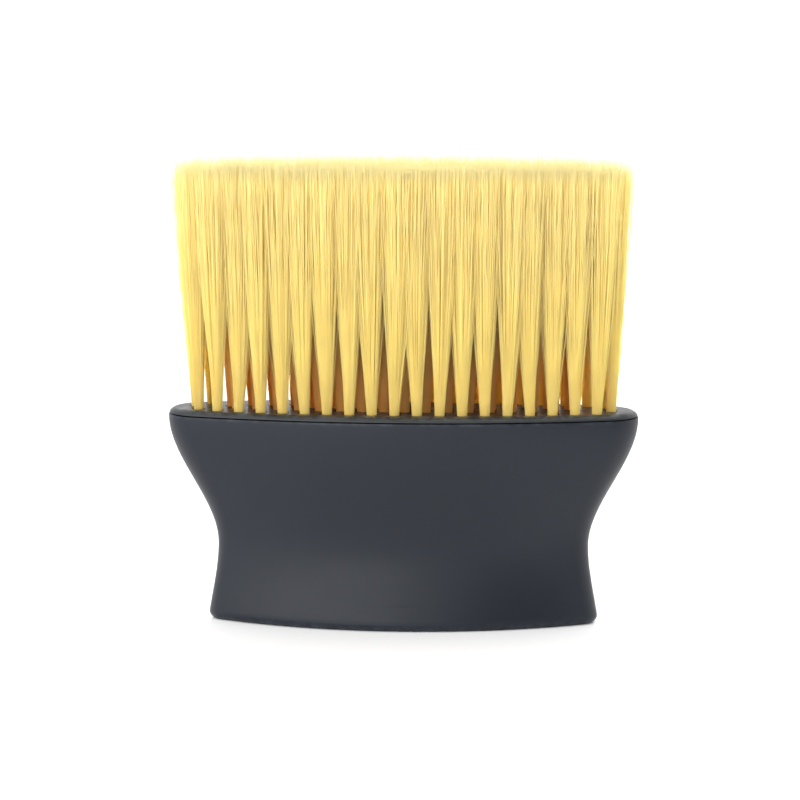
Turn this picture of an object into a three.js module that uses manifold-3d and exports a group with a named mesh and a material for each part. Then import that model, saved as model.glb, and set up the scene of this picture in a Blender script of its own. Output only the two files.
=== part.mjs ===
// A barber's neck duster: a wide, flat, waisted handle moulded in black plastic, closed by a drilled
// plate, and a dense block of soft nylon bristle standing on it. The bristle is planted in tufts, each
// folded into a hole of its own: an outer ring, an inner ring and a centre row.
//
// Millimetres, +Z up. The brush stands on its flat base with the bristle up. X runs along its width,
// the front faces -Y, and the origin is the middle of the base.

import * as THREE from 'three';
import { mergeVertices } from 'three/addons/utils/BufferGeometryUtils.js';
import Module from 'manifold-3d';

const wasm = await Module();
wasm.setup();

// ---------------------------------------------------------------- driving dimensions

// A level of the handle is a boat outline, given by three numbers: half its width, half its depth
// and the radius of its round ends.
const RIM = { width: 57.5, depth: 16, end: 9.2 };
const WAIST = { width: 45.5, depth: 12.4, end: 5.6 };
const FOOT = { width: 48.5, depth: 17.4, end: 5.2 };

const GAP = 0.3;                // clearance kept between neighbouring pieces

const WAIST_Z = 19;
const FOOT_Z = -6;              // where the flare below the waist would end: the base cuts it off at 0
const RIM_Z = 50.6;             // where the flare above the waist ends and the rim's corner starts
const SEAM_Z = 51.1;            // top edge of the handle, under the plate's flange
const FLANGE_Z = SEAM_Z + GAP;  // underside of the plate's flange
const PLATE_TOP = 52.6;
const BRISTLE_LENGTH = 60.4;    // from the plate to the trimmed tips

const WALL = 2.2;               // handle wall at the rim
const FLOOR = 3;                // thickness of the handle's base
const BASE_EDGE = 1.8;          // radius round the base
const PLUG_FOOT = 44.6;         // underside of the part of the plate that sits inside the handle

const HOLE_DEPTH = 6.2;
const HOLE_RADIUS = 1.55;
const ROOT_RADIUS = 1.2;        // a tuft where it leaves its hole
const COLLAR = 1;               // how far above the plate a tuft stays that tight
const OUTER_FLARE = 2.2;        // radius that an outer tuft opens to
const INNER_FLARE = 3.1;        // at this radius the inner ring's tufts run into one another
const CENTRE_FLARE = 1.5;
const FLARE_HEIGHT = 30;        // height above the plate where a tuft is fully open
const TIP_CROWN = 0.7;          // how far the middle of a tuft's trimmed end stands over its edge

// A ring's first tuft stands its share of a step past the middle of the front. With these counts and
// shares most of the inner ring's tufts fill the spaces between those in front of them.
const OUTER_RING = { width: 51, depth: 10.7, end: 6, count: 40, first: 0.75 };
const INNER_RING = { width: 43, depth: 5.4, end: 1.6, count: 34, first: 0.15 };
const CENTRE_ROW = { half: 21.6, count: 9 };

// How much wider the block is at its tips than at its roots, along X and along Y, at the outer ring.
const SPREAD_X = 1.2;
const SPREAD_Y = 1.8;

const END_STEPS = 8;            // facets round each end of a boat outline
const SIDE_STEPS = 14;          // facets along each side
const TUFT_SIDES = 8;
const HANDLE_LEVELS = 13;       // rings between the base and the rim
const CAVITY_LEVELS = 6;        // rings between the rim and the waist, inside

// ---------------------------------------------------------------- materials

const ABS = { color: 0x3a3e44, roughness: 0.42, metalness: 0 };
const NYLON = { color: 0xf3dc8a, roughness: 0.55, metalness: 0 };

const named = (name, geometry, look) => {
  const mesh = new THREE.Mesh(geometry, new THREE.MeshStandardMaterial(look));
  mesh.name = name;
  return mesh;
};

// ---------------------------------------------------------------- solids

const MERGE = 1e-4;             // points closer than this are one

// Closed geometry to a manifold solid: only the shared positions are kept.
function toSolid(geometry) {
  const bare = geometry.clone();
  bare.deleteAttribute('normal');
  bare.deleteAttribute('uv');
  const merged = mergeVertices(bare, MERGE);
  return new wasm.Manifold(new wasm.Mesh({
    numProp: 3,
    vertProperties: new Float32Array(merged.attributes.position.array),
    triVerts: new Uint32Array(merged.index.array),
  }));
}

function toGeometry(solid) {
  const mesh = solid.getMesh();
  const geometry = new THREE.BufferGeometry();
  geometry.setAttribute('position', new THREE.BufferAttribute(mesh.vertProperties, 3));
  geometry.setIndex(new THREE.BufferAttribute(mesh.triVerts, 1));
  geometry.computeVertexNormals();
  return geometry;
}

// ---------------------------------------------------------------- the boat outline

// A boat outline drawn inwards by a constant distance is a boat outline again.
const inset = ({ width, depth, end }, by) => ({ width: width - by, depth: depth - by, end: end - by });

// The outline's arcs, anticlockwise from the middle of the front. The two sides bow out by the
// outline's depth and run into the round ends without a corner, so a side's radius and the angle
// where it meets an end follow from the three numbers.
function boatArcs({ width, depth, end }) {
  const reach = width - end;
  const radius = (reach * reach + depth * depth - end * end) / (2 * (depth - end));
  const turn = Math.atan2(radius - depth, reach);
  const arc = (x, y, r, from, to) => new THREE.EllipseCurve(x, y, r, r, from, to);
  const front = 1.5 * Math.PI;
  return [
    arc(0, radius - depth, radius, front, 2 * Math.PI - turn),
    arc(reach, 0, end, -turn, turn),
    arc(0, depth - radius, radius, turn, Math.PI - turn),
    arc(-reach, 0, end, Math.PI - turn, Math.PI + turn),
    arc(0, radius - depth, radius, Math.PI + turn, front),
  ];
}

// The outline as facets. Outlines of every size have the same number, so they can be lofted.
function boatPoints(size) {
  const steps = [SIDE_STEPS / 2, END_STEPS, SIDE_STEPS, END_STEPS, SIDE_STEPS / 2];
  return boatArcs(size).flatMap((arc, i) => arc.getPoints(steps[i]).slice(0, -1));
}

// A solid lofted through levels, each { z, size }. It starts as a lathe with one column of vertices
// for each point of the outline, and every ring of it is then laid on its own outline. The first and
// last levels have no size: they close the ends on the axis.
function loft(levels) {
  const columns = 2 * (END_STEPS + SIDE_STEPS);
  const profile = levels.map(({ z, size }) => new THREE.Vector2(size ? size.width : 0, z));
  const geometry = new THREE.LatheGeometry(profile, columns);
  const position = geometry.attributes.position;
  levels.forEach(({ z, size }, level) => {
    const ring = size ? boatPoints(size) : null;
    for (let column = 0; column <= columns; column += 1) {
      const point = ring ? ring[column % columns] : { x: 0, y: 0 };
      position.setXYZ(column * levels.length + level, point.x, point.y, z);
    }
  });
  geometry.computeVertexNormals();
  return geometry;
}

// The levels of a rounded corner, from the one angle to the other: the outline draws in as the corner
// turns up (positive angles) or down (negative ones) from the height z, where it is at its widest.
function corner(z, radius, outline, from, to, steps = 4) {
  return Array.from({ length: steps + 1 }, (_, i) => {
    const angle = THREE.MathUtils.lerp(from, to, i / steps);
    return { z: z + radius * Math.sin(angle), size: inset(outline, radius * (1 - Math.cos(angle))) };
  });
}

// ---------------------------------------------------------------- the handle

// The handle's outline at a height: narrowest at the waist, with a smooth flare up to the rim and a
// shorter one down to the foot.
function handleAt(z) {
  const target = z > WAIST_Z ? RIM : FOOT;
  const share = z > WAIST_Z
    ? THREE.MathUtils.smoothstep(z, WAIST_Z, RIM_Z)
    : 1 - THREE.MathUtils.smoothstep(z, FOOT_Z, WAIST_Z);
  const between = (key) => THREE.MathUtils.lerp(WAIST[key], target[key], share);
  return { width: between('width'), depth: between('depth'), end: between('end') };
}

// The cavity follows the outside down to the waist and runs straight from there to the floor, so the
// mould's core draws out through the rim.
const cavityAt = (z, wall) => inset(handleAt(Math.max(z, WAIST_Z)), wall);

// The rim's corner is rounded up to the plate's top. The seam parts it into the handle's edge below
// and the plate's flange above.
const RIM_CORNER = PLATE_TOP - RIM_Z;
const cornerAngle = (z) => Math.asin((z - RIM_Z) / RIM_CORNER);

function handleShell() {
  const levels = [
    { z: 0, size: null },
    ...corner(BASE_EDGE, BASE_EDGE, handleAt(BASE_EDGE), -Math.PI / 2, 0),
  ];
  for (let i = 1; i < HANDLE_LEVELS; i += 1) {
    const z = THREE.MathUtils.lerp(BASE_EDGE, RIM_Z, i / HANDLE_LEVELS);
    levels.push({ z, size: handleAt(z) });
  }
  levels.push(...corner(RIM_Z, RIM_CORNER, handleAt(RIM_Z), 0, cornerAngle(SEAM_Z), 1));
  levels.push({ z: SEAM_Z, size: cavityAt(SEAM_Z, WALL) });
  for (let i = 1; i <= CAVITY_LEVELS; i += 1) {
    const z = THREE.MathUtils.lerp(SEAM_Z, WAIST_Z, i / CAVITY_LEVELS);
    levels.push({ z, size: cavityAt(z, WALL) });
  }
  levels.push({ z: FLOOR, size: cavityAt(FLOOR, WALL) });
  levels.push({ z: FLOOR, size: null });
  return loft(levels);
}

// ---------------------------------------------------------------- where the tufts stand

// Evenly spaced places round a boat outline. The first stands its share of a step past the middle of
// the front.
function placesRound({ count, first, ...size }) {
  const path = new THREE.CurvePath();
  boatArcs(size).forEach((arc) => path.add(arc));
  return Array.from({ length: count }, (_, i) => {
    const { x, y } = path.getPointAt((i + first) / count);
    return [x, y];
  });
}

function placesInRow({ half, count }) {
  return Array.from({ length: count }, (_, i) => [THREE.MathUtils.lerp(-half, half, i / (count - 1)), 0]);
}

// ---------------------------------------------------------------- tufts

// A lathed solid on the Z axis.
const upright = (profile) => new THREE.LatheGeometry(profile, TUFT_SIDES).rotateX(Math.PI / 2);

// A tuft stands on its axis with its root in the hole at z = 0 of its own frame. It is tight at the
// root, opens as its filaments part, and is trimmed nearly flat at the tips.
function tuftGeometry(flare, length) {
  const root = -HOLE_DEPTH + GAP;
  const profile = [
    [0, root],
    [ROOT_RADIUS, root],
    [ROOT_RADIUS, COLLAR],
    [flare, FLARE_HEIGHT],
    [flare, length - TIP_CROWN],
    [0, length],
  ].map(([radius, z]) => new THREE.Vector2(radius, z));
  return upright(profile);
}

// The drilled hole, a little wider than the root. The cutter runs on above the plate.
function holeGeometry() {
  const profile = [[0, -HOLE_DEPTH], [HOLE_RADIUS, -HOLE_DEPTH], [HOLE_RADIUS, COLLAR], [0, COLLAR]]
    .map(([radius, z]) => new THREE.Vector2(radius, z));
  return upright(profile);
}

// Stands an object at its place on the plate, leaning outwards by the block's spread.
function plant(object, [x, y]) {
  const lean = new THREE.Vector3(
    (SPREAD_X * x) / OUTER_RING.width,
    (SPREAD_Y * y) / OUTER_RING.depth,
    BRISTLE_LENGTH,
  );
  object.position.set(x, y, PLATE_TOP);
  object.quaternion.setFromUnitVectors(new THREE.Vector3(0, 0, 1), lean.normalize());
  object.updateMatrixWorld();
  return object;
}

function singleTuft(name, flare, place) {
  return plant(named(name, tuftGeometry(flare, BRISTLE_LENGTH), NYLON), place);
}

// Tufts that run into one another above their flare, joined into one solid.
function mergedTufts(name, places) {
  const solids = places.map((place) => {
    const tuft = plant(new THREE.Mesh(tuftGeometry(INNER_FLARE, BRISTLE_LENGTH)), place);
    return toSolid(tuft.geometry.applyMatrix4(tuft.matrixWorld));
  });
  return named(name, toGeometry(wasm.Manifold.union(solids)), NYLON);
}

// ---------------------------------------------------------------- the tuft plate

// A flange that covers the handle's rim, and a plug below it that fits inside the handle.
function tuftPlate(places) {
  const plug = (z) => cavityAt(z, WALL + GAP);
  const levels = [
    { z: PLUG_FOOT, size: null },
    { z: PLUG_FOOT, size: plug(PLUG_FOOT) },
    { z: FLANGE_Z, size: plug(FLANGE_Z) },
    ...corner(RIM_Z, RIM_CORNER, handleAt(RIM_Z), cornerAngle(FLANGE_Z), Math.PI / 2),
    { z: PLATE_TOP, size: null },
  ];
  let plate = toSolid(loft(levels));
  const holes = places.map((place) => {
    const hole = plant(new THREE.Mesh(holeGeometry()), place);
    return toSolid(hole.geometry.applyMatrix4(hole.matrixWorld));
  });
  plate = plate.subtract(wasm.Manifold.union(holes));
  return named('tuft_plate', toGeometry(plate), ABS);
}

// ---------------------------------------------------------------- assembly

const outer = placesRound(OUTER_RING);
const inner = placesRound(INNER_RING);
const centre = placesInRow(CENTRE_ROW);
const number = (i) => String(i + 1).padStart(2, '0');

const brush = new THREE.Group();
brush.add(named('handle_shell', handleShell(), ABS));
brush.add(tuftPlate([...outer, ...inner, ...centre]));
outer.forEach((place, i) => brush.add(singleTuft(`outer_tuft_${number(i)}`, OUTER_FLARE, place)));
centre.forEach((place, i) => brush.add(singleTuft(`centre_tuft_${number(i)}`, CENTRE_FLARE, place)));
brush.add(mergedTufts('inner_ring_tufts', inner));

export default brush;
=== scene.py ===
# %% [markdown]
# # A neck duster brush
# A barber's neck duster has a wide, flat, waisted handle moulded in black plastic and a dense block of
# soft yellow nylon standing on it. A drilled plate closes the handle, and the nylon is planted in that
# plate tuft by tuft, each tuft folded round a flat wire and driven into a hole of its own.
# This lesson builds those pieces in the order a factory would: handle, plate, wires, tufts.

import math

import bmesh
import bpy
import numpy as np
from mathutils import Matrix, Vector


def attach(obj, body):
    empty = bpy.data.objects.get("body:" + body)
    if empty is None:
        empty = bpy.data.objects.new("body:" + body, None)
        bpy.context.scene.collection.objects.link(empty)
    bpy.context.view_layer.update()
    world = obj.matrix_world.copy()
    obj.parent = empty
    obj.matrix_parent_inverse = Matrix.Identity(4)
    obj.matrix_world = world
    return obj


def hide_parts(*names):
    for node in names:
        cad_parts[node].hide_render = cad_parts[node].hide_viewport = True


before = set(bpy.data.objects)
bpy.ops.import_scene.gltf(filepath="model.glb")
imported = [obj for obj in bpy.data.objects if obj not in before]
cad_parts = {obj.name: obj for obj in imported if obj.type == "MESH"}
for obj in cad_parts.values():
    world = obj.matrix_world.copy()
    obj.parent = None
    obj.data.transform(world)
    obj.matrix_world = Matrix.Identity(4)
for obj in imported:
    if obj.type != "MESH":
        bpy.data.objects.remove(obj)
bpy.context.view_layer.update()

# %% [markdown]
# ## Working in millimetres
# Drawings of small moulded parts are in millimetres, and Blender's unit is the metre. So every mesh is
# drawn in millimetres and scaled once, when it becomes an object. The scale goes into the mesh itself:
# the object stays at the origin, unturned and unscaled, and a pattern on its Object coordinates stays
# where it is put.

# %% From a bmesh to a piece of the brush
MM = 0.001
MERGE = 0.005               # millimetres: vertices closer than this are one


def as_piece(mesh, name, material, nodes):
    """Puts a mesh in the scene as a piece that stands in for these nodes of the frame."""
    piece = bpy.data.objects.new(name, mesh)
    bpy.context.scene.collection.objects.link(piece)
    mesh.materials.append(material)
    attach(piece, "root")
    if nodes:
        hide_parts(*nodes)
    return piece


def finish_mesh(bm, name, crease=40):
    """Closes the drawing: faces turned outwards, smooth but for edges sharper than the crease."""
    bmesh.ops.remove_doubles(bm, verts=bm.verts, dist=MERGE)
    bmesh.ops.recalc_face_normals(bm, faces=bm.faces)
    for face in bm.faces:
        face.smooth = True
    for edge in bm.edges:
        edge.smooth = edge.calc_face_angle(0) < math.radians(crease)
    open_edges = sum(not edge.is_manifold for edge in bm.edges)
    bmesh.ops.scale(bm, vec=(MM, MM, MM), verts=bm.verts)
    mesh = bpy.data.meshes.new(name)
    bm.to_mesh(mesh)
    bm.free()
    print(f"{name}: {len(mesh.polygons)} faces, {open_edges} open edges")
    return mesh


# %% [markdown]
# ## Colours and nodes
# A colour given here is an sRGB value, and a shader works with light, which is linear. One function
# turns the one into the other. A second one adds a node with its settings and links, which is all that
# any material here needs.

# %% Two helpers for materials


def linear(hex_colour):
    """An sRGB colour such as "3a3e44" as the linear colour that a shader takes."""
    parts = [int(hex_colour[i:i + 2], 16) / 255 for i in (0, 2, 4)]
    return [c / 12.92 if c <= 0.04045 else ((c + 0.055) / 1.055) ** 2.4 for c in parts] + [1]


def add_node(tree, kind, inputs=(), **settings):
    """A new node. Each input is a value to set, or another node's output to link."""
    node = tree.nodes.new(kind)
    for name, value in settings.items():
        setattr(node, name, value)
    for name, value in dict(inputs).items():
        if isinstance(value, bpy.types.NodeSocket):
            tree.links.new(value, node.inputs[name])
        else:
            node.inputs[name].default_value = value
    return node


def new_material(name):
    """An empty material, and its node tree."""
    material = bpy.data.materials.new(name)
    material.use_nodes = True
    material.node_tree.nodes.clear()
    return material, material.node_tree


# %% [markdown]
# ## The camera, the room and the light
# A product on a white table is lit by large soft sources: the white room fills every shadow, and one
# large softbox, high on the left, gives the dark plastic its soft sheen. A small one behind the brush
# is narrowed by a grid, so that its beam shines through the bristle and leaves the table alone. The
# lens is long, so the brush's two ends look the same size, and it looks down from a little above the
# table.

# %% The camera
VIEW_TURN, VIEW_HEIGHT = math.radians(3.8), math.radians(8.7)
DISTANCE = 0.95
FIELD = 0.1955              # metres across the picture at the brush
AIM = Vector((-0.0007, 0, 0.0546))

camera = bpy.data.objects.new("camera", bpy.data.cameras.new("camera"))
bpy.context.scene.collection.objects.link(camera)
back = Vector((
    math.sin(VIEW_TURN) * math.cos(VIEW_HEIGHT),
    -math.cos(VIEW_TURN) * math.cos(VIEW_HEIGHT),
    math.sin(VIEW_HEIGHT),
))
camera.location = AIM + DISTANCE * back
camera.rotation_mode = "QUATERNION"
camera.rotation_quaternion = (-back).to_track_quat("-Z", "Y")
camera.data.lens = camera.data.sensor_width * DISTANCE / FIELD
camera.data.clip_end = 20
bpy.context.scene.camera = camera
bpy.context.scene.view_settings.view_transform = "Standard"
BOUNCES = 40                # light crosses many pale filaments before it is lost
bpy.context.scene.cycles.max_bounces = BOUNCES
bpy.context.scene.cycles.diffuse_bounces = BOUNCES
print(f"lens {camera.data.lens:.0f} mm at {DISTANCE} m")

# %% The white room
world = bpy.data.worlds.new("white_room")
world.use_nodes = True
world.node_tree.nodes.clear()
sky = add_node(world.node_tree, "ShaderNodeBackground", {"Color": (1, 1, 1, 1), "Strength": 1.15})
add_node(world.node_tree, "ShaderNodeOutputWorld", {"Surface": sky.outputs[0]})
bpy.context.scene.world = world


# %% Softboxes


def softbox(name, place, size, power):
    """A square area light, in metres and watts, that faces the middle of the brush."""
    light = bpy.data.lights.new(name, "AREA")
    light.size, light.energy = size, power
    lamp = bpy.data.objects.new(name, light)
    bpy.context.scene.collection.objects.link(lamp)
    lamp.location = place
    lamp.rotation_euler = (AIM - Vector(place)).to_track_quat("-Z", "Y").to_euler()
    return lamp


softbox("key_softbox", (-0.72, -1.04, 0.55), 1.8, 18)
softbox("top_softbox", (0.1, 0.25, 1.3), 1.0, 3)
# The grid on the one behind keeps its beam within ten degrees of straight ahead.
behind = softbox("back_softbox", (0.0, 0.7, 0.14), 0.2, 0.5)
behind.data.spread = math.radians(20)
behind.visible_camera = behind.visible_glossy = False

# %% [markdown]
# A black card stands on the right, out of the picture. Dark plastic shows the room in its gloss, and
# the card's reflection turns that end of the handle darker, so that its curve reads. The camera
# doesn't see the card itself.

# %% The black card
card_black, tree = new_material("black_felt_card")
nap = add_node(tree, "ShaderNodeTexNoise", {
    "Vector": add_node(tree, "ShaderNodeTexCoord").outputs["Object"], "Scale": 700})
felt = add_node(tree, "ShaderNodeMapRange", {
    "Value": nap.outputs["Fac"], "To Min": 0.01, "To Max": 0.03})
shader = add_node(tree, "ShaderNodeBsdfPrincipled", {
    "Base Color": felt.outputs[0], "Roughness": 0.9, "Specular IOR Level": 0.1})
add_node(tree, "ShaderNodeOutputMaterial", {"Surface": shader.outputs[0]})

CARD, CARD_SIZE = Vector((0.8, -0.75, 0.45)), 1.24    # metres
facing = (-CARD).to_track_quat("Z", "Y").to_matrix().to_4x4()
bm = bmesh.new()
bmesh.ops.create_grid(bm, x_segments=1, y_segments=1, size=CARD_SIZE / 2,
                      matrix=Matrix.Translation(CARD) @ facing)
card_mesh = bpy.data.meshes.new("black_card")
bm.to_mesh(card_mesh)
bm.free()
card_mesh.materials.append(card_black)
card = bpy.data.objects.new("black_card", card_mesh)
bpy.context.scene.collection.objects.link(card)
card.visible_camera = card.visible_shadow = False
card.visible_diffuse = card.visible_transmission = False

# %% [markdown]
# The table is white laminate with faint flecks, so large that its edge lies beyond the picture, and
# bright enough to run into the white room without a horizon.

# %% The table
table_white, tree = new_material("matt_white_laminate")
flecks = add_node(tree, "ShaderNodeTexNoise", {
    "Vector": add_node(tree, "ShaderNodeTexCoord").outputs["Object"], "Scale": 900, "Detail": 3})
white = add_node(tree, "ShaderNodeMapRange", {
    "Value": flecks.outputs["Fac"], "To Min": 0.86, "To Max": 0.9})
shader = add_node(tree, "ShaderNodeBsdfPrincipled", {
    "Base Color": white.outputs[0], "Roughness": 0.7, "Specular IOR Level": 0.2})
add_node(tree, "ShaderNodeOutputMaterial", {"Surface": shader.outputs[0]})

bm = bmesh.new()
bmesh.ops.create_circle(bm, cap_ends=True, radius=12, segments=48)
table_mesh = bpy.data.meshes.new("table")
bm.to_mesh(table_mesh)
bm.free()
table_mesh.materials.append(table_white)
table = bpy.data.objects.new("table", table_mesh)
bpy.context.scene.collection.objects.link(table)

# %% [markdown]
# ## The boat outline
# Seen from above, every level of the handle has the outline of a boat: two long sides that bow out and
# two small round ends, all arcs that run into one another without a corner. Three numbers give it: half
# the width, half the depth and the radius of the ends. It can be drawn as with a pair of compasses, by
# spinning one vertex round the centre of each arc in turn. A closed curve on a control net would only
# come near it, and the seam between handle and plate needs both to be true to the same line.

# %% Drawing a boat outline with compasses
END_STEPS, SIDE_STEPS = 22, 42    # edges round an end and along a side


def boat_arcs(outline):
    """The side's radius, and the angle at which a side meets an end."""
    width, depth, end = outline
    radius = ((width - end) ** 2 + depth ** 2 - end ** 2) / (2 * (depth - end))
    return radius, math.atan2(radius - depth, width - end)


def boat_ring(bm, z, outline):
    """Draws one closed outline at height z and returns its edges."""
    width, depth, end = outline
    radius, turn = boat_arcs(outline)
    reach, before = width - end, set(bm.verts)
    start = (reach + end * math.cos(turn), -end * math.sin(turn), z)
    pen = bmesh.ops.create_vert(bm, co=start)["vert"]
    arcs = [
        (reach, 0, 2 * turn, END_STEPS),
        (0, depth - radius, math.pi - 2 * turn, SIDE_STEPS),
        (-reach, 0, 2 * turn, END_STEPS),
        (0, radius - depth, math.pi - 2 * turn, SIDE_STEPS),
    ]
    for x, y, angle, steps in arcs:
        spun = bmesh.ops.spin(
            bm, geom=pen, cent=(x, y, z), axis=(0, 0, 1), angle=angle, steps=steps)
        pen = [v for v in spun["geom_last"] if isinstance(v, bmesh.types.BMVert)]
    bmesh.ops.remove_doubles(bm, verts=[v for v in bm.verts if v not in before], dist=MERGE)
    return list({edge for v in bm.verts if v not in before for edge in v.link_edges})


def loft(bm, levels):
    """Draws an outline at each level and bridges each to the next. Returns the rings' edges."""
    rings = [boat_ring(bm, z, outline) for z, outline in levels]
    for lower, upper in zip(rings, rings[1:]):
        bmesh.ops.bridge_loops(bm, edges=lower + upper)
    return rings


def smaller(outline, by):
    """A boat outline drawn inwards by a constant distance is a boat outline again."""
    return tuple(size - by for size in outline)


def corner(z, radius, outline, start, stop, steps):
    """Levels of a rounded corner, from one angle to another, whose widest point is at height z."""
    angles = [start + (stop - start) * i / steps for i in range(steps + 1)]
    return [(z + radius * math.sin(a), smaller(outline, radius * (1 - math.cos(a))))
            for a in angles]


# %% [markdown]
# ## The handle
# The handle is one injection moulding in ABS: a hollow shell with a flat base, pinched to a waist where
# the fingers hold it and flared again under the brush. A lathe or a box with loop cuts can't give an
# outline that changes from level to level, so it is lofted: outlines at some seventy heights, each
# bridged to the next. The loft runs up the outside, over the rim and down the inside to the floor, so
# the shell has its true wall.

# %% The handle's sizes, in millimetres
RIM, WAIST, FOOT = (57.5, 16.0, 9.2), (45.5, 12.4, 5.6), (48.5, 17.4, 5.2)
WAIST_Z, FOOT_Z, RIM_Z = 19.0, -6.0, 50.6
SEAM_Z, GAP = 51.1, 0.3     # the seam between handle and plate
PLATE_TOP = 52.6
WALL, FLOOR = 2.2, 3.0
BASE_EDGE = 1.8             # radius round the base
RIM_CORNER = PLATE_TOP - RIM_Z


def handle_at(z):
    """The handle's outline at a height: a smooth flare up from the waist, a shorter one down."""
    target, end_z = (RIM, RIM_Z) if z > WAIST_Z else (FOOT, FOOT_Z)
    share = (z - WAIST_Z) / (end_z - WAIST_Z)
    ease = share * share * (3 - 2 * share)
    return tuple(w + (t - w) * ease for w, t in zip(WAIST, target))


def cavity_at(z, wall):
    """Inside, the wall follows the flare down to the waist and then runs straight to the floor."""
    return smaller(handle_at(max(z, WAIST_Z)), wall)


def corner_angle(z):
    """How far round the rim's rounded corner the height z is."""
    return math.asin((z - RIM_Z) / RIM_CORNER)


# %% Lofting the handle
RIM_BEVEL = 0.12            # the moulding's sharpest edges are still this round
FLARE_LEVELS, CAVITY_LEVELS = 44, 14    # levels up the outside and down the inside
FLOOR_EDGE = 0.6            # chamfer round the cavity's floor


def build_handle():
    """The shell, lofted from the base up the outside, over the rim and down to its floor."""
    outside = [BASE_EDGE + (RIM_Z - BASE_EDGE) * i / FLARE_LEVELS for i in range(1, FLARE_LEVELS)]
    inside = [SEAM_Z + (WAIST_Z - SEAM_Z) * i / CAVITY_LEVELS for i in range(1, CAVITY_LEVELS + 1)]
    levels = corner(BASE_EDGE, BASE_EDGE, handle_at(BASE_EDGE), -math.pi / 2, 0, 8)
    levels += [(z, handle_at(z)) for z in outside]
    levels += corner(RIM_Z, RIM_CORNER, handle_at(RIM_Z), 0, corner_angle(SEAM_Z), 2)
    levels += [(SEAM_Z, cavity_at(SEAM_Z, WALL))]
    levels += [(z, cavity_at(z, WALL)) for z in inside]
    levels += [(FLOOR + FLOOR_EDGE, cavity_at(FLOOR, WALL)),
               (FLOOR, cavity_at(FLOOR, WALL + FLOOR_EDGE))]
    bm = bmesh.new()
    rings = loft(bm, levels)
    for ring in (rings[0], rings[-1]):
        base = bmesh.ops.contextual_create(bm, geom=ring)["faces"]
        bmesh.ops.inset_region(bm, faces=base, thickness=0.5, use_even_offset=True)
    rim = [edge for ring in rings for edge in ring
           if edge.is_valid and all(abs(v.co.z - SEAM_Z) < MERGE for v in edge.verts)]
    bmesh.ops.bevel(bm, geom=rim, offset=RIM_BEVEL, segments=2, profile=0.5, affect="EDGES",
                    material=-1, clamp_overlap=True)
    return finish_mesh(bm, "handle")


handle_mesh = build_handle()

# %% [markdown]
# ### Satin black ABS
# ABS is dyed through, so its colour is even, and what the eye reads is its surface: the mould was
# eroded by sparks, which leaves a fine even grain, and hands have polished the grain in places. The
# sheen therefore wanders a little, edges that rub on the shelf are paler and smoother, and there are a
# few hair scratches. The grain of such a mould is about 0.08 mm, too fine to show at this distance, so
# it is drawn at 0.35 mm.

# %% The handle's material
GRAIN = 0.35                # millimetres, drawn about four times too coarse so that it shows


def per_mm(size):
    """The scale of a texture whose features are this many millimetres wide."""
    return 1 / (size * MM)


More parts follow.
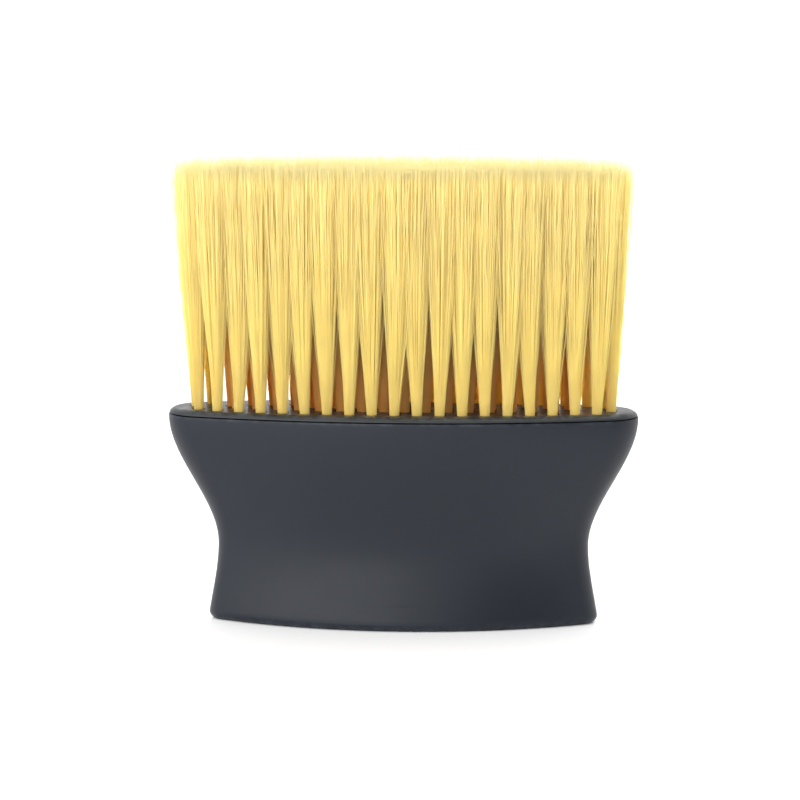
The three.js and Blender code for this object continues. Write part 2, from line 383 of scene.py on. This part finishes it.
def moulded_abs(name, colour, wear_and_sheen_colour, roughness, grain_depth, edges):
    """ABS with a moulded grain. Edges holds (height, spread) in mm of bands painted paler in patches:
    wear, and on the plate's top a painted reflection too.
    """
    material, tree = new_material(name)
    where = add_node(tree, "ShaderNodeTexCoord").outputs["Object"]
    height = add_node(tree, "ShaderNodeSeparateXYZ", {0: where}).outputs["Z"]
    smudges = add_node(tree, "ShaderNodeTexNoise", {
        "Vector": where, "Scale": per_mm(22), "Detail": 4, "Roughness": 0.55})
    patches = add_node(tree, "ShaderNodeTexNoise", {
        "Vector": where, "Scale": per_mm(2.4), "Detail": 5, "Roughness": 0.6})
    grain = add_node(tree, "ShaderNodeTexNoise", {
        "Vector": where, "Scale": per_mm(GRAIN), "Detail": 2, "Roughness": 0.5})
    wear_and_sheen_band = None
    for edge_z, spread in edges:
        off = add_node(tree, "ShaderNodeMath", {0: height, 1: edge_z * MM}, operation="SUBTRACT")
        far = add_node(tree, "ShaderNodeMath", {0: off.outputs[0]}, operation="ABSOLUTE")
        near = add_node(tree, "ShaderNodeMapRange", {
            "Value": far.outputs[0], "From Min": 0, "From Max": spread * MM,
            "To Min": 1, "To Max": 0}, interpolation_type="SMOOTHSTEP")
        wear_and_sheen_band = near if wear_and_sheen_band is None else add_node(
            tree, "ShaderNodeMath", {0: wear_and_sheen_band.outputs[0], 1: near.outputs[0]}, operation="MAXIMUM")
    pale_patches = add_node(tree, "ShaderNodeMapRange", {
        "Value": patches.outputs["Fac"], "From Min": 0.42, "From Max": 0.72})
    wear_and_sheen = add_node(tree, "ShaderNodeMath", {
        0: wear_and_sheen_band.outputs[0], 1: pale_patches.outputs[0]}, operation="MULTIPLY")
    # Near those edges the colour turns paler in patches: wear, and on the plate's top also a painted
    # reflection.
    paint = add_node(tree, "ShaderNodeMix", {
        "Factor": wear_and_sheen.outputs[0], 6: linear(colour), 7: linear(wear_and_sheen_colour)}, data_type="RGBA")
    scratches = add_node(tree, "ShaderNodeTexNoise", {
        "Vector": add_node(tree, "ShaderNodeMapping", {
            "Vector": where, "Rotation": (0.3, 0.5, 0.2),
            "Scale": (1, 26, 26)}).outputs[0],
        "Scale": per_mm(18), "Detail": 1})
    scratch = add_node(tree, "ShaderNodeMapRange", {
        "Value": scratches.outputs["Fac"], "From Min": 0.7, "From Max": 0.76})
    sheen = add_node(tree, "ShaderNodeMapRange", {
        "Value": smudges.outputs["Fac"], "From Min": 0.3, "From Max": 0.7,
        "To Min": roughness - 0.04, "To Max": roughness + 0.05})
    dulled = add_node(tree, "ShaderNodeMath", {
        0: scratch.outputs[0], 1: 0.1, 2: sheen.outputs[0]}, operation="MULTIPLY_ADD")
    polished = add_node(tree, "ShaderNodeMath", {
        0: wear_and_sheen.outputs[0], 1: -0.08, 2: dulled.outputs[0]}, operation="MULTIPLY_ADD")
    relief = add_node(tree, "ShaderNodeMath", {
        0: scratch.outputs[0], 1: -0.35, 2: grain.outputs["Fac"]}, operation="MULTIPLY_ADD")
    bump = add_node(tree, "ShaderNodeBump", {
        "Strength": 1, "Distance": grain_depth * MM, "Height": relief.outputs[0]})
    shader = add_node(tree, "ShaderNodeBsdfPrincipled", {
        "Base Color": paint.outputs[2],
        "Roughness": polished.outputs[0], "IOR": 1.54, "Specular IOR Level": 0.3,
        "Normal": bump.outputs[0]})
    add_node(tree, "ShaderNodeOutputMaterial", {"Surface": shader.outputs[0]})
    return material


satin_abs = moulded_abs("satin_black_abs", "121822", "2f353f", 0.42, 0.012,
                        edges=[(0, 2.2), (SEAM_Z, 1.0)])
as_piece(handle_mesh, "handle", satin_abs, ["handle_shell"])

# %% [markdown]
# ## Where the tufts stand
# The factory's drilling machine sets out the holes first: forty round the edge of the plate,
# thirty-four in a narrow ring inside it, and nine in a row along the middle. They are spaced evenly
# along their outlines, so a place is found by walking a share of the way round. Each ring starts its own
# share of a step past the middle of the front, so that most inner tufts fill the spaces between those in
# front of them. Every tuft leans outwards a little, more at the edge than in the middle, so the block is
# wider at its tips than at its roots.

# %% Walking round an outline
OUTER_RING, OUTER_COUNT, OUTER_FIRST = (51.0, 10.7, 6.0), 40, 0.75
INNER_RING, INNER_COUNT, INNER_FIRST = (43.0, 5.4, 1.6), 34, 0.15
CENTRE_HALF, CENTRE_COUNT = 21.6, 9
LENGTH = 60.4               # millimetres from the plate to the trimmed tips
SPREAD_X, SPREAD_Y = 1.2, 1.8     # how much wider the block is at its tips, along X and along Y


def walk(outline, share):
    """The place a share of the way round, anticlockwise from the middle of the front."""
    width, depth, end = outline
    radius, turn = boat_arcs(outline)
    side, cap = (math.pi / 2 - turn) * radius, 2 * turn * end
    reach, left = width - end, share * (4 * side + 2 * cap)
    for x, y, r, start, length in (
            (0, radius - depth, radius, 1.5 * math.pi, side),
            (reach, 0, end, -turn, cap),
            (0, depth - radius, radius, turn, 2 * side),
            (-reach, 0, end, math.pi - turn, cap),
            (0, radius - depth, radius, math.pi + turn, side)):
        if left <= length:
            break
        left -= length
    angle = start + left / r
    return Vector((x + r * math.cos(angle), y + r * math.sin(angle), PLATE_TOP))


def lean(place):
    """The direction in which the tuft at this place grows."""
    return Vector((SPREAD_X * place.x / OUTER_RING[0], SPREAD_Y * place.y / OUTER_RING[1],
                   LENGTH)).normalized()


outer = [walk(OUTER_RING, (i + OUTER_FIRST) / OUTER_COUNT) for i in range(OUTER_COUNT)]
inner = [walk(INNER_RING, (i + INNER_FIRST) / INNER_COUNT) for i in range(INNER_COUNT)]
centre = [Vector((CENTRE_HALF * (2 * i / (CENTRE_COUNT - 1) - 1), 0, PLATE_TOP))
          for i in range(CENTRE_COUNT)]
places = outer + inner + centre

# %% Checking them against the frame


def frame_tip(node):
    """The highest point of a tuft of the frame, in millimetres."""
    return max((v.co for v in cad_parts[node].data.vertices), key=lambda co: co.z) / MM


errors = [(frame_tip(f"outer_tuft_{i:02}") - place - lean(place) * LENGTH).length
          for i, place in enumerate(outer, 1)]
print(f"{len(places)} tufts; outer ones within {max(errors):.3f} mm of the frame's")

# %% [markdown]
# ## The tuft plate
# The plate is a second moulding: a flange that lies on the handle's rim and carries on its rounded
# corner, and a plug below it that fits inside. Its holes could be cut with Boolean modifiers, but 83
# Booleans are slow and leave long thin faces round each hole. Instead the top is filled between its
# outline and 83 drawn circles, and each circle is then pulled down into a hole. Its first short step
# draws in as it goes down: the drill's small countersink.

# %% Lofting the plate
PLUG_FOOT = 44.6
FLANGE_Z = SEAM_Z + GAP
HOLE_RADIUS, HOLE_DEPTH, HOLE_SIDES = 1.55, 6.2, 18
COUNTERSINK = 0.15
PLUG_EDGE = 0.4             # chamfer round the plug's foot, which leads it into the handle
PLUG_MIDDLE = 48.0
FLANGE_INSET = 0.35         # how far the flange's underside is drawn in from the handle's widest


def pull_down(bm, ring, by, scale, middle):
    """Extrudes a ring of edges, moves it and scales it about its own middle. Returns the new ring."""
    made = bmesh.ops.extrude_edge_only(bm, edges=ring)["geom"]
    verts = [v for v in made if isinstance(v, bmesh.types.BMVert)]
    bmesh.ops.scale(bm, vec=(scale, scale, 1), verts=verts, space=Matrix.Translation(-middle))
    bmesh.ops.translate(bm, vec=by, verts=verts)
    return [edge for edge in made if isinstance(edge, bmesh.types.BMEdge)]


def plug_at(z, draft=0.0):
    """A level of the plug, which clears the cavity's wall all round."""
    return z, cavity_at(z, WALL + GAP + draft)


def build_plate():
    """The plug and the flange, lofted, with the top filled round its holes."""
    levels = [plug_at(PLUG_FOOT, PLUG_EDGE), plug_at(PLUG_FOOT + PLUG_EDGE),
              plug_at(PLUG_MIDDLE), plug_at(FLANGE_Z)]
    levels += [(FLANGE_Z, smaller(handle_at(RIM_Z), FLANGE_INSET))]
    levels += corner(RIM_Z, RIM_CORNER, handle_at(RIM_Z), corner_angle(FLANGE_Z), math.pi / 2, 9)
    bm = bmesh.new()
    rings = loft(bm, levels)
    bmesh.ops.contextual_create(bm, geom=rings[0])
    circles = []
    for place in places:
        drawn = bmesh.ops.create_circle(
            bm, radius=HOLE_RADIUS + COUNTERSINK, segments=HOLE_SIDES,
            matrix=Matrix.Translation(place))["verts"]
        circles.append(list({edge for v in drawn for edge in v.link_edges}))
    bmesh.ops.triangle_fill(bm, edges=rings[-1] + sum(circles, []), use_beauty=True,
                            normal=(0, 0, 1))
    inner_scale = HOLE_RADIUS / (HOLE_RADIUS + COUNTERSINK)
    for place, circle in zip(places, circles):
        ring = pull_down(bm, circle, (0, 0, -COUNTERSINK), inner_scale, place)
        foot = -lean(place) * (HOLE_DEPTH - COUNTERSINK)
        ring = pull_down(bm, ring, foot, 1, place)
        bmesh.ops.contextual_create(bm, geom=ring)
    return finish_mesh(bm, "tuft_plate_closed")


plate_mesh = build_plate()

# %% [markdown]
# ### The plate's ABS
# The plate comes from a plainer mould without the spark grain. It is the same black ABS, a little
# glossier. Its top is painted paler in patches, fading down its rounded edge. This is partly dust and
# scuffs from driving in the tufts, and partly a painted reflection of the bright room, which the flat
# top catches at a low angle.

# %% The plate's material
# The paler colour over the plate's top is partly dust and partly painted reflection.
plate_abs = moulded_abs("smooth_black_abs", "24272a", "4a4d50", 0.34, 0.005,
                        edges=[(PLATE_TOP, 1.2)])
as_piece(plate_mesh, "tuft_plate_moulding", plate_abs, ["tuft_plate"])

# %% [markdown]
# ## The wires
# A tuft isn't glued. Its filaments are folded in half round a short flat wire, and the machine drives
# the wire into the hole until its ends bite into the plastic. The wires are out of sight at the feet of
# the holes, and they are what holds the brush together, so they are built too. Each is a small bar with
# rounded edges, and the bars of a ring are one piece.

# %% [markdown]
# ### Brass wire
# Flat brass wire is bare metal, yellow and half bright. Drawing it through a die leaves fine streaks
# along it, so both its colour and its polish come from one noise, pulled out along the wire.

# %% The wires' material
brass, tree = new_material("drawn_brass_wire")
where = add_node(tree, "ShaderNodeTexCoord").outputs["Object"]
drawn = add_node(tree, "ShaderNodeTexNoise", {
    "Vector": add_node(tree, "ShaderNodeMapping", {
        "Vector": where, "Scale": (1, 1, 12)}).outputs[0],
    "Scale": per_mm(1.5), "Detail": 3})
tone = add_node(tree, "ShaderNodeMix", {
    "Factor": drawn.outputs["Fac"], 6: linear("b08d4a"), 7: linear("d9bb74")}, data_type="RGBA")
polish = add_node(tree, "ShaderNodeMapRange", {
    "Value": drawn.outputs["Fac"], "To Min": 0.22, "To Max": 0.42})
shader = add_node(tree, "ShaderNodeBsdfPrincipled", {
    "Base Color": tone.outputs[2], "Metallic": 1, "Roughness": polish.outputs[0]})
add_node(tree, "ShaderNodeOutputMaterial", {"Surface": shader.outputs[0]})

# %% Driving in the wires
WIRE_LENGTH, WIRE_HEIGHT, WIRE_THICKNESS = 2.9, 1.6, 0.4
WIRE_EDGE = 0.1             # radius of the bar's edges
WIRE_LIFT = 0.35            # how far a bar stays above the foot of its hole
FLATNESS = 8                # the rings are long and flat, so a bar across one points mostly along Y


def build_wires(name, ring):
    """The bars of one ring, each at the foot of its tuft and set across the ring."""
    bm = bmesh.new()
    for place in ring:
        foot = place - lean(place) * (HOLE_DEPTH - WIRE_HEIGHT / 2 - WIRE_LIFT)
        across = Matrix.Rotation(math.atan2(place.x, FLATNESS * place.y), 4, "Z")
        size = Matrix.Diagonal((WIRE_THICKNESS, WIRE_LENGTH, WIRE_HEIGHT, 1))
        bmesh.ops.create_cube(bm, size=1, matrix=Matrix.Translation(foot) @ across @ size)
    bmesh.ops.bevel(bm, geom=list(bm.edges), offset=WIRE_EDGE, segments=2, profile=0.5,
                    affect="EDGES", material=-1)
    as_piece(finish_mesh(bm, name), name, brass, [])


for name, ring in (("outer_wires", outer), ("inner_wires", inner), ("centre_wires", centre)):
    build_wires(name, ring)

# %% [markdown]
# ## One nylon filament
# The bristle is nylon drawn to a tenth of a millimetre, with a tapered tip that makes it soft on the
# skin. There are more than thirty thousand filaments, so each may only have a few dozen faces: a
# three-sided rod with a few rings to bend at. It is shaded smooth along its length, but its long edges
# stay sharp: shading smoothed round three sides would lose most of the light. Blender's hair would
# render, but it is no mesh, so one filament is drawn with operators and copied.

# %% Drawing the filament
FILAMENTS = 400             # ends in a tuft
FILAMENT_RADIUS = 0.055     # millimetres
SIDES = 3
ROOT = -5.9                 # the fold, at the foot of the hole
HEIGHTS = [ROOT, 0.3, 8, 18, 31, 45, 55.5]    # rings along the filament; the tip comes last


def build_filament():
    """One straight filament, drawn a millimetre in radius and thinned when it is planted."""
    bm = bmesh.new()
    bmesh.ops.create_circle(bm, cap_ends=True, radius=1, segments=SIDES,
                            matrix=Matrix.Translation((0, 0, HEIGHTS[0])))
    bmesh.ops.reverse_faces(bm, faces=bm.faces)
    edges = list(bm.edges)
    for rise in np.diff(HEIGHTS):
        made = bmesh.ops.extrude_edge_only(bm, edges=edges)["geom"]
        verts = [v for v in made if isinstance(v, bmesh.types.BMVert)]
        bmesh.ops.translate(bm, vec=(0, 0, rise), verts=verts)
        edges = [edge for edge in made if isinstance(edge, bmesh.types.BMEdge)]
    cap = bmesh.ops.contextual_create(bm, geom=edges)["faces"]
    tip = bmesh.ops.poke(bm, faces=cap)["verts"]
    bmesh.ops.translate(bm, vec=(0, 0, LENGTH - HEIGHTS[-1]), verts=tip)
    bmesh.ops.recalc_face_normals(bm, faces=bm.faces)
    for face in bm.faces:
        face.smooth = True
    for edge in bm.edges:
        low, high = sorted(v.co.z for v in edge.verts)
        edge.smooth = high - low < 0.01 and low > ROOT + 1
    mesh = bpy.data.meshes.new("filament")
    bm.to_mesh(mesh)
    bm.free()
    return mesh


filament = build_filament()
print(f"a filament has {len(filament.vertices)} vertices and {len(filament.polygons)} faces")

# %% [markdown]
# ## A bundle of them
# The filament is copied four hundred times into one mesh. Each copy gets its own upright strip of the
# UV map: left to right says which filament it is, and bottom to top how far along it a point lies. The
# nylon's material needs just those two numbers.

# %% The bundle and its UV map
bundle = bpy.data.meshes.new("bundle")
bm = bmesh.new()
for _ in range(FILAMENTS):
    bm.from_mesh(filament)
bm.to_mesh(bundle)
bm.free()

PER_FILAMENT = len(filament.vertices)
corner_vertex = np.zeros(len(bundle.loops), np.int32)
bundle.loops.foreach_get("vertex_index", corner_vertex)
rest = np.zeros(3 * len(bundle.vertices), np.float32)
bundle.vertices.foreach_get("co", rest)
rest = rest.reshape(-1, 3)
which = np.arange(len(rest)) // PER_FILAMENT      # the filament that each vertex belongs to

STRIP_WIDTH = 0.8           # how much of its share of the map a strip takes
around = np.arctan2(rest[:, 1], rest[:, 0]) / (2 * np.pi) * STRIP_WIDTH + 0.5
around[np.hypot(rest[:, 0], rest[:, 1]) < 0.5] = 0.5      # the tip is in the middle of its strip
u = (which + around) / FILAMENTS
v = (rest[:, 2] - ROOT) / (LENGTH - ROOT)
strips = bundle.uv_layers.new(name="OFBake")
strips.data.foreach_set("uv", np.stack([u, v], 1)[corner_vertex].ravel().astype(np.float32))
print(f"a bundle has {len(bundle.polygons)} faces")

# %% [markdown]
# ## Spreading a bundle into a tuft
# In its hole a tuft is packed tight. Above the plate it opens, slowly at first, then faster, and then
# less and less once it has met its neighbours. The filaments stand in the hole like the seeds of a
# sunflower, each a golden angle round from the last, which packs a disc evenly. Each then keeps its
# place in the disc as the disc grows, with a bend and a length of its own, and one in thirty strays. No
# modifier bends four hundred rods each in its own way, so their vertices are moved with numpy.

# %% Spreading a tuft
HOLE_PACK, OPENED, OPENING = 1.2, 2.8, 34.0       # radius in the hole, growth, and its height
HELD = 1.5                  # above 1, a tuft opens slowly at first, as the hole still holds it
SPLAY, BEND, SWAY = 0.2, 0.6, 0.35      # how much filaments differ: in spread, lean and curve
STRAYS, STRAY_LEAST, STRAY_MOST = 1 / 30, 0.3, 1.1      # the share of strays, and their spread
DRIFT, DRIFT_HEIGHT = 0.3, 15.0         # how far a tuft strays from its own line, and how soon
MISS, UNEVEN, SHORTEST, LONGEST = -0.2, 1.0, -4.0, 1.6    # how filaments miss the trimmed length
TAPER, BLUNT = 5.0, 0.2     # millimetres over which a filament narrows, and to what share
END_DROP = 0.2              # how much lower the tips are trimmed at the ends of the block
GOLDEN = math.pi * (3 - math.sqrt(5))


def spread_tuft(place, seed):
    """The vertices, in metres, of the tuft that grows at this place."""
    rng = np.random.default_rng(seed)
    n = np.arange(FILAMENTS)
    seat = np.sqrt((n + 0.5) / FILAMENTS)
    angle = n * GOLDEN + rng.uniform(0, 2 * np.pi)
    splay = 1 + rng.normal(0, SPLAY, FILAMENTS)
    strays = rng.random(FILAMENTS) < STRAYS
    splay += strays * rng.uniform(STRAY_LEAST, STRAY_MOST, FILAMENTS)
    bend_x, bend_y = rng.normal(0, BEND, (2, FILAMENTS))
    sway = rng.normal(0, SWAY, (2, FILAMENTS))
    trimmed = LENGTH - END_DROP * (place.x / OUTER_RING[0]) ** 4
    length = trimmed + np.clip(rng.normal(MISS, UNEVEN, FILAMENTS), SHORTEST, LONGEST)
    drift = rng.normal(0, DRIFT, 2)

    reach = (rest[:, 2] - ROOT) / (LENGTH - ROOT)
    z = ROOT + reach * (length[which] - ROOT)
    up = np.clip(z, 0, None)
    share = up / LENGTH
    radius = HOLE_PACK + OPENED * (1 - np.exp(-(up / OPENING) ** HELD)) * splay[which]
    x = radius * (seat * np.cos(angle))[which] + bend_x[which] * share ** 2
    y = radius * (seat * np.sin(angle))[which] + bend_y[which] * share ** 2
    drifted = 1 - np.exp(-up / DRIFT_HEIGHT)
    x += sway[0][which] * np.sin(np.pi * share) + drift[0] * drifted
    y += sway[1][which] * np.sin(np.pi * share) + drift[1] * drifted
    thick = FILAMENT_RADIUS * np.clip((length[which] - z) / TAPER, BLUNT, 1)
    local = np.stack([x + rest[:, 0] * thick, y + rest[:, 1] * thick, z], 1)
    turn = np.array(Vector((0, 0, 1)).rotation_difference(lean(place)).to_matrix())
    return (local @ turn.T + np.array(place)) * MM


# %% [markdown]
# ### Nylon
# Drawn nylon is clear resin with a dye in it. A single filament is pale and lets light through, and
# light that has crossed many of them deepens from straw to orange between the tufts. So the shader is a
# soft gloss over dye, mixed with light let through. Most of the depth of colour comes from the light
# passing from filament to filament. The rest is painted light: low down inside the block, the colour is
# painted a light orange and the filaments there let more light through. This stands in for light that
# crosses more filaments than the renderer follows, and lifts the shade between the tufts. The tips, worn
# thin, are paler. Every filament's dye differs a little, by a random number that its strip of the UV map
# gives.

# %% The dye along a filament
nylon, tree = new_material("drawn_nylon")
strip = add_node(tree, "ShaderNodeSeparateXYZ", {
    0: add_node(tree, "ShaderNodeUVMap", uv_map="OFBake").outputs[0]})
counted = add_node(tree, "ShaderNodeMath", {
    0: strip.outputs["X"], 1: FILAMENTS}, operation="MULTIPLY")
filament_number = add_node(tree, "ShaderNodeMath", {0: counted.outputs[0]}, operation="FLOOR")
chance = add_node(tree, "ShaderNodeTexWhiteNoise", {
    "W": filament_number.outputs[0]}, noise_dimensions="1D")
along = add_node(tree, "ShaderNodeValToRGB", {"Fac": strip.outputs["Y"]})
stops = along.color_ramp.elements
stops[0].position, stops[0].color = 0.08, linear("f8ec9c")    # where it leaves its hole
stops[1].position, stops[1].color = 1.0, linear("e3dfc6")     # the worn tip
stops.new(0.3).color = linear("fbf3ad")
stops.new(0.94).color = linear("fdf7cb")
uneven = add_node(tree, "ShaderNodeMapRange", {
    "Value": chance.outputs["Value"], "To Min": 0, "To Max": 0.25})
dyed = add_node(tree, "ShaderNodeMix", {
    "Factor": uneven.outputs[0], 6: along.outputs[0], 7: linear("faea8c")}, data_type="RGBA")

# %% [markdown]
# How deep inside the block a point lies is worked out from the outer ring's own arcs. Each long side is
# part of a great circle, so the distance from its centre tells how far in the point is, and the farther
# of the two centres belongs to the nearer side. Light also gets in at the block's ends and from above,
# so the distance from the ends and the height count too.

# %% Painted light inside the block
DEEP, EDGE = 5.5, 0.5       # millimetres inside and outside the outer ring's line
where = add_node(tree, "ShaderNodeTexCoord").outputs["Object"]
side_radius, _ = boat_arcs(OUTER_RING)
to_centre = side_radius - OUTER_RING[1]
distances = []
for y in (-to_centre, to_centre):
    off = add_node(tree, "ShaderNodeVectorMath", {
        0: where, 1: (0, y * MM, 0)}, operation="SUBTRACT")
    flat = add_node(tree, "ShaderNodeVectorMath", {
        0: off.outputs[0], 1: (1, 1, 0)}, operation="MULTIPLY")
    distances.append(add_node(tree, "ShaderNodeVectorMath", {
        0: flat.outputs[0]}, operation="LENGTH").outputs["Value"])
nearest = add_node(tree, "ShaderNodeMath", {
    0: distances[0], 1: distances[1]}, operation="MAXIMUM")
depth = add_node(tree, "ShaderNodeMapRange", {
    "Value": nearest.outputs[0], "From Min": (side_radius + EDGE) * MM,
    "From Max": (side_radius - DEEP) * MM, "To Min": 0, "To Max": 1})
across = add_node(tree, "ShaderNodeMath", {
    0: add_node(tree, "ShaderNodeSeparateXYZ", {0: where}).outputs["X"]}, operation="ABSOLUTE")
inland = add_node(tree, "ShaderNodeMapRange", {
    "Value": across.outputs[0], "From Min": (OUTER_RING[0] + 1) * MM,
    "From Max": (OUTER_RING[0] - 6) * MM})
lower = add_node(tree, "ShaderNodeMapRange", {
    "Value": strip.outputs["Y"], "From Min": 0.9, "From Max": 0.25, "To Min": 0, "To Max": 0.8})
sheltered = add_node(tree, "ShaderNodeMath", {
    0: depth.outputs[0], 1: inland.outputs[0]}, operation="MULTIPLY")
inner_light_mask = add_node(tree, "ShaderNodeMath", {
    0: sheltered.outputs[0], 1: lower.outputs[0]}, operation="MULTIPLY")
# Low down inside the block, the colour is painted a light orange. This is painted light, for light that
# has crossed more filaments than the renderer follows, and it lifts the shade between the tufts.
painted_inner_light = add_node(tree, "ShaderNodeMix", {
    "Factor": inner_light_mask.outputs[0], 6: dyed.outputs[2], 7: linear("ffe4ac")}, data_type="RGBA")

# %% Gloss over dye, and light let through
cloudy = add_node(tree, "ShaderNodeTexNoise", {
    "Vector": where, "Scale": per_mm(6), "Detail": 3})
clouds = add_node(tree, "ShaderNodeMapRange", {
    "Value": cloudy.outputs["Fac"], "To Min": 0.96, "To Max": 1.04})
dye_and_inner_light = add_node(tree, "ShaderNodeHueSaturation", {
    "Color": painted_inner_light.outputs[2], "Value": clouds.outputs[0]})
gloss = add_node(tree, "ShaderNodeMapRange", {
    "Value": chance.outputs["Value"], "To Min": 0.36, "To Max": 0.52})
solid = add_node(tree, "ShaderNodeBsdfPrincipled", {
    "Base Color": dye_and_inner_light.outputs[0], "Roughness": gloss.outputs[0], "IOR": 1.53})
through = add_node(tree, "ShaderNodeBsdfTranslucent", {"Color": dye_and_inner_light.outputs[0]})
clear = add_node(tree, "ShaderNodeMapRange", {
    "Value": inner_light_mask.outputs[0], "To Min": 0.6, "To Max": 0.95})
both = add_node(tree, "ShaderNodeMixShader", {
    0: clear.outputs[0], 1: solid.outputs[0], 2: through.outputs[0]})
add_node(tree, "ShaderNodeOutputMaterial", {"Surface": both.outputs[0]})

# %% [markdown]
# ## Planting the tufts
# Each tuft is a copy of the bundle, spread by a seed of its own, so every brush from this lesson is the
# same. The tufts of the inner ring stand in for one node of the frame together, and each of the others
# for a node of its own.

# %% Planting the tufts
rows = [("outer", outer, "outer_tuft_{:02}"), ("inner", inner, "inner_ring_tufts"),
        ("centre", centre, "centre_tuft_{:02}")]
seed = 0                    # each tuft's number, counted on from ring to ring
for row, ring, node in rows:
    for i, place in enumerate(ring, 1):
        seed += 1
        mesh = bundle.copy()
        mesh.name = f"{row}_bristle_{i:02}"
        mesh.vertices.foreach_set("co", spread_tuft(place, seed).astype(np.float32).ravel())
        mesh.update()
        as_piece(mesh, mesh.name, nylon, [node.format(i)])
print(f"{seed} tufts with {seed * FILAMENTS} filaments")

# %% [markdown]
# ## Finishing
# The working meshes go.

# %% Removing the working meshes
for mesh in (filament, bundle):
    bpy.data.meshes.remove(mesh)
